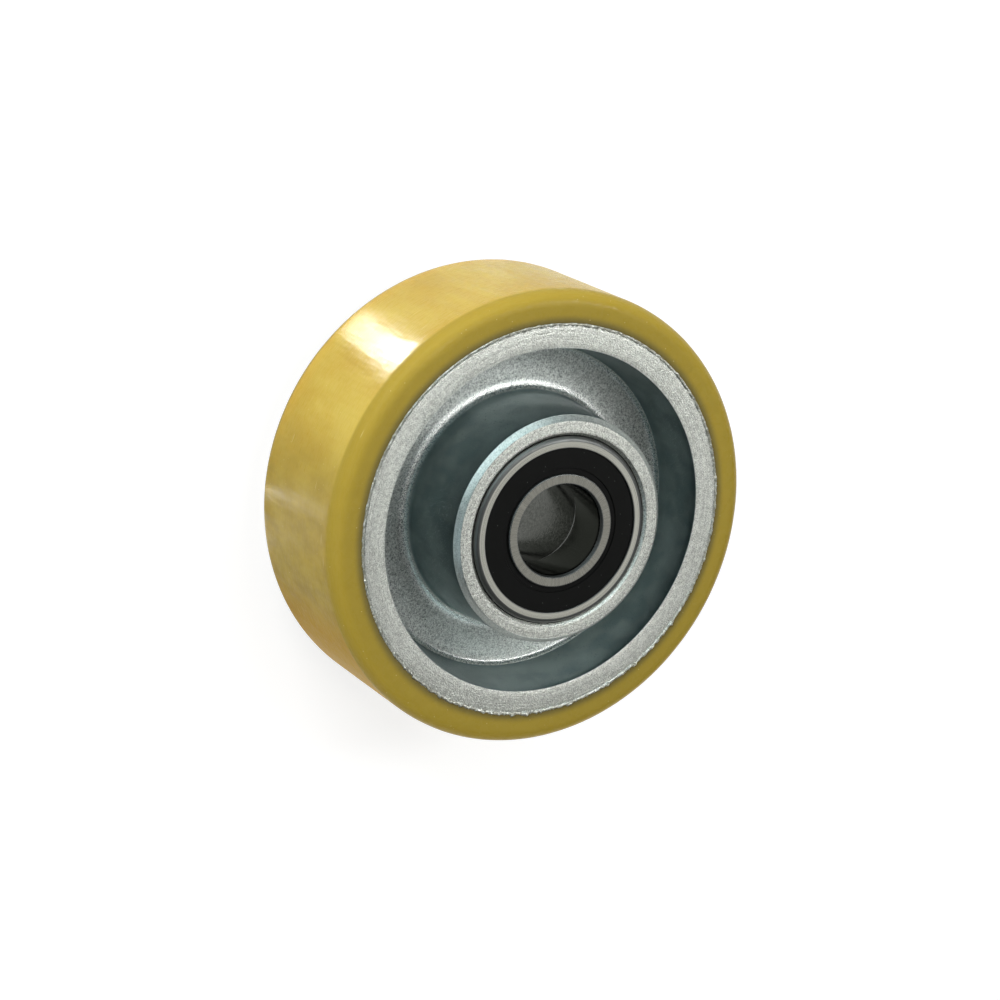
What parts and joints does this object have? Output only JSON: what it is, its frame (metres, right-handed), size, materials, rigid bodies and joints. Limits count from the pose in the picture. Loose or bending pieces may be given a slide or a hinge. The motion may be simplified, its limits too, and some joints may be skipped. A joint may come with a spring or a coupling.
{
  "type": "polyurethane wheel",
  "caption": "Polyurethane wheel on a cast iron core with a long hub, sealed ball bearings and a spacer tube, turning on a plain axle bore.",
  "frame": {"origin": "the wheel's centre, on its axis, midway between its two faces", "axes": "+Z along the axle bore, out of the front face, which is up as the wheel lies on its side; X and Y across the wheel"},
  "size_m": [0.127, 0.127, 0.063],
  "materials": {
    "polyurethane": "gloss",
    "plated_iron": "zinc plated, as cast and turned",
    "ring_steel": "ground",
    "ball_steel": "polished",
    "cage_steel": "pressed sheet",
    "seal_rubber": "satin",
    "tube_steel": "plain tube"
  },
  "bodies": {
    "wheel": {"tyre": "polyurethane", "wheel_core": "plated_iron", "front_outer_ring": "ring_steel", "rear_outer_ring": "ring_steel", "front_outer_seal": "seal_rubber", "rear_outer_seal": "seal_rubber", "front_inner_seal": "seal_rubber", "rear_inner_seal": "seal_rubber"},
    "axle_sleeve": {"front_inner_ring": "ring_steel", "rear_inner_ring": "ring_steel", "spacer_tube": "tube_steel"},
    "front_cage": {"front_cage_outer": "cage_steel", "front_cage_inner": "cage_steel", "front_cage_rivets": "cage_steel", "front_ball_1": "ball_steel", "front_ball_2": "ball_steel", "front_ball_3": "ball_steel", "front_ball_4": "ball_steel", "front_ball_5": "ball_steel", "front_ball_6": "ball_steel", "front_ball_7": "ball_steel", "front_ball_8": "ball_steel", "front_ball_9": "ball_steel"},
    "rear_cage": {"rear_cage_outer": "cage_steel", "rear_cage_inner": "cage_steel", "rear_cage_rivets": "cage_steel", "rear_ball_1": "ball_steel", "rear_ball_2": "ball_steel", "rear_ball_3": "ball_steel", "rear_ball_4": "ball_steel", "rear_ball_5": "ball_steel", "rear_ball_6": "ball_steel", "rear_ball_7": "ball_steel", "rear_ball_8": "ball_steel", "rear_ball_9": "ball_steel"}
  },
  "joints": [
    {"name": "axle_spin", "type": "hinge", "parent": "wheel", "child": "axle_sleeve", "pos_m": [0, 0, 0], "axis": [0, 0, 1], "continuous": true},
    {"name": "front_cage_spin", "type": "hinge", "parent": "wheel", "child": "front_cage", "pos_m": [0, 0, 0.024], "axis": [0, 0, 1], "continuous": true},
    {"name": "rear_cage_spin", "type": "hinge", "parent": "wheel", "child": "rear_cage", "pos_m": [0, 0, -0.024], "axis": [0, 0, 1], "continuous": true}
  ],
  "couplings": [
    {"joint": "front_cage_spin", "follows": "axle_spin", "ratio": 0.39691},
    {"joint": "rear_cage_spin", "follows": "axle_spin", "ratio": 0.39691}
  ]
}
